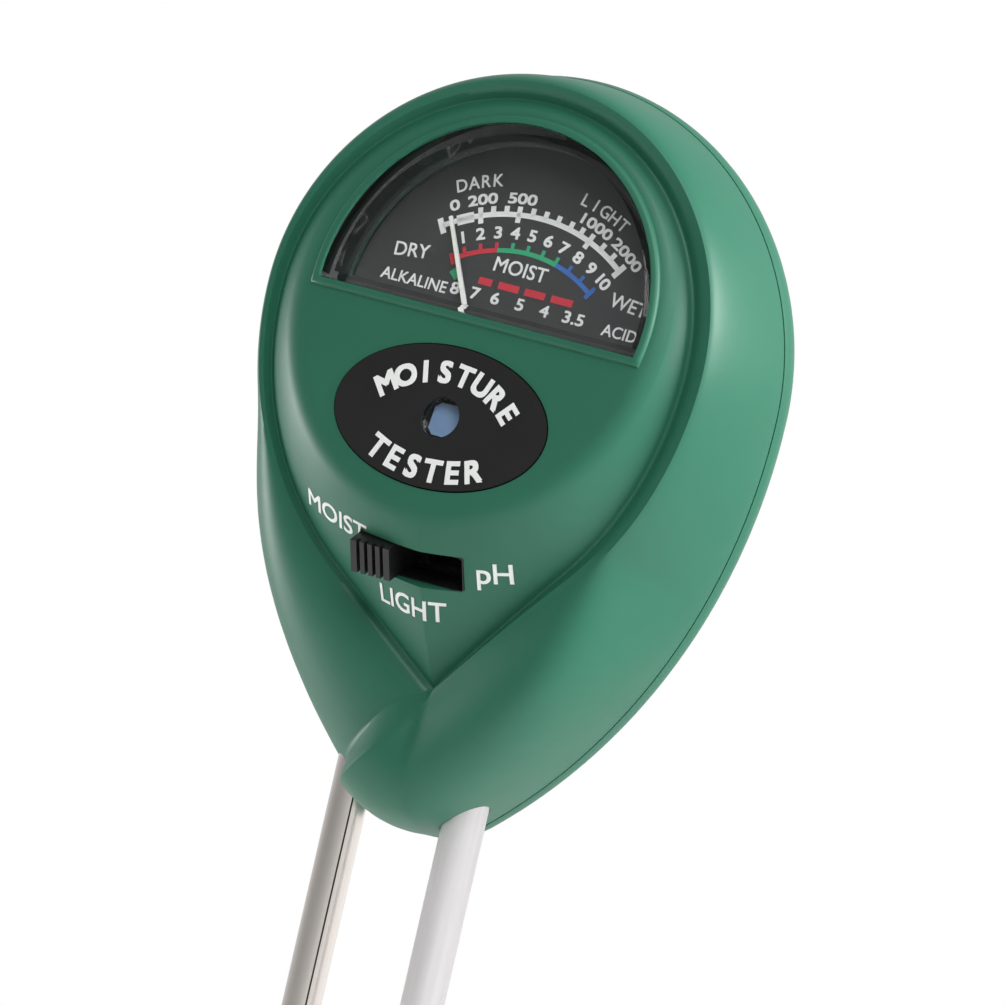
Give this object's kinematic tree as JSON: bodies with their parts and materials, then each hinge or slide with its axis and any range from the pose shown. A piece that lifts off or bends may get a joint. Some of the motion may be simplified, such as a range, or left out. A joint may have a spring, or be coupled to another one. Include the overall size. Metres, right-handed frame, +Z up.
{
  "type": "soil moisture meter",
  "caption": "Hand-held soil meter: egg-shaped head with tilted dial window, light cell and mode switch, on two pointed metal probes.",
  "frame": {"origin": "middle of the object's footprint, level with the tips of the two probes", "axes": "+Z up along the probes towards the head, -Y out of the dial face, +X to the user's right"},
  "size_m": [0.0654, 0.0324, 0.2847],
  "materials": {
    "green_plastic": "satin",
    "black_plastic": "satin",
    "clear_plastic": "gloss",
    "sensor_glass": "gloss",
    "dial_enamel": "satin",
    "white_enamel": "satin",
    "plated_steel": "satin",
    "nickel": "satin",
    "aluminium": "satin",
    "brass": "satin",
    "bronze": "satin",
    "copper": "gloss",
    "magnet": "matte",
    "board": "satin",
    "resistor_coat": "gloss",
    "tinned": "satin",
    "lead_insulation": "satin"
  },
  "bodies": {
    "housing": {"front_shell": "green_plastic", "rear_cover": "green_plastic", "cover_screws": "plated_steel", "window_lens": "clear_plastic", "badge_plate": "black_plastic", "sensor_window": "clear_plastic", "light_sensor": "sensor_glass", "sensor_holder": "black_plastic", "dial_plate": "dial_enamel", "dial_screws": "plated_steel", "movement_base": "black_plastic", "movement_screws": "plated_steel", "yoke_ring": "plated_steel", "core_magnet": "magnet", "core_support": "brass", "front_bridge": "brass", "jewel_bearings": "brass", "zero_adjust_arm": "brass", "switch_can": "plated_steel", "switch_base": "black_plastic", "switch_terminals": "tinned", "circuit_board": "board", "resistors": "resistor_coat", "diode": "black_plastic", "trimmer": "resistor_coat", "left_probe_tube": "nickel", "left_probe_sleeve": "black_plastic", "left_probe_tip": "nickel", "right_probe_rod": "aluminium", "probe_clamp": "black_plastic", "solder_lugs": "tinned", "probe_leads": "lead_insulation", "movement_leads": "lead_insulation"},
    "switch_slider": {"switch_knob": "black_plastic", "switch_contact": "bronze"},
    "needle": {"coil_frame": "aluminium", "coil_winding": "copper", "pivot_pins": "plated_steel", "pointer": "white_enamel", "balance_weight": "brass", "front_hairspring": "bronze", "rear_hairspring": "bronze"}
  },
  "joints": [
    {"name": "switch_slide", "type": "slide", "parent": "housing", "child": "switch_slider", "axis": [1, 0, 0], "range_m": [0, 0.0086]},
    {"name": "needle_swing", "type": "hinge", "parent": "housing", "child": "needle", "pos_m": [0, -0.00646, 0.24778], "axis": [0, 0.972, -0.2351], "range_deg": [0, 62]}
  ]
}
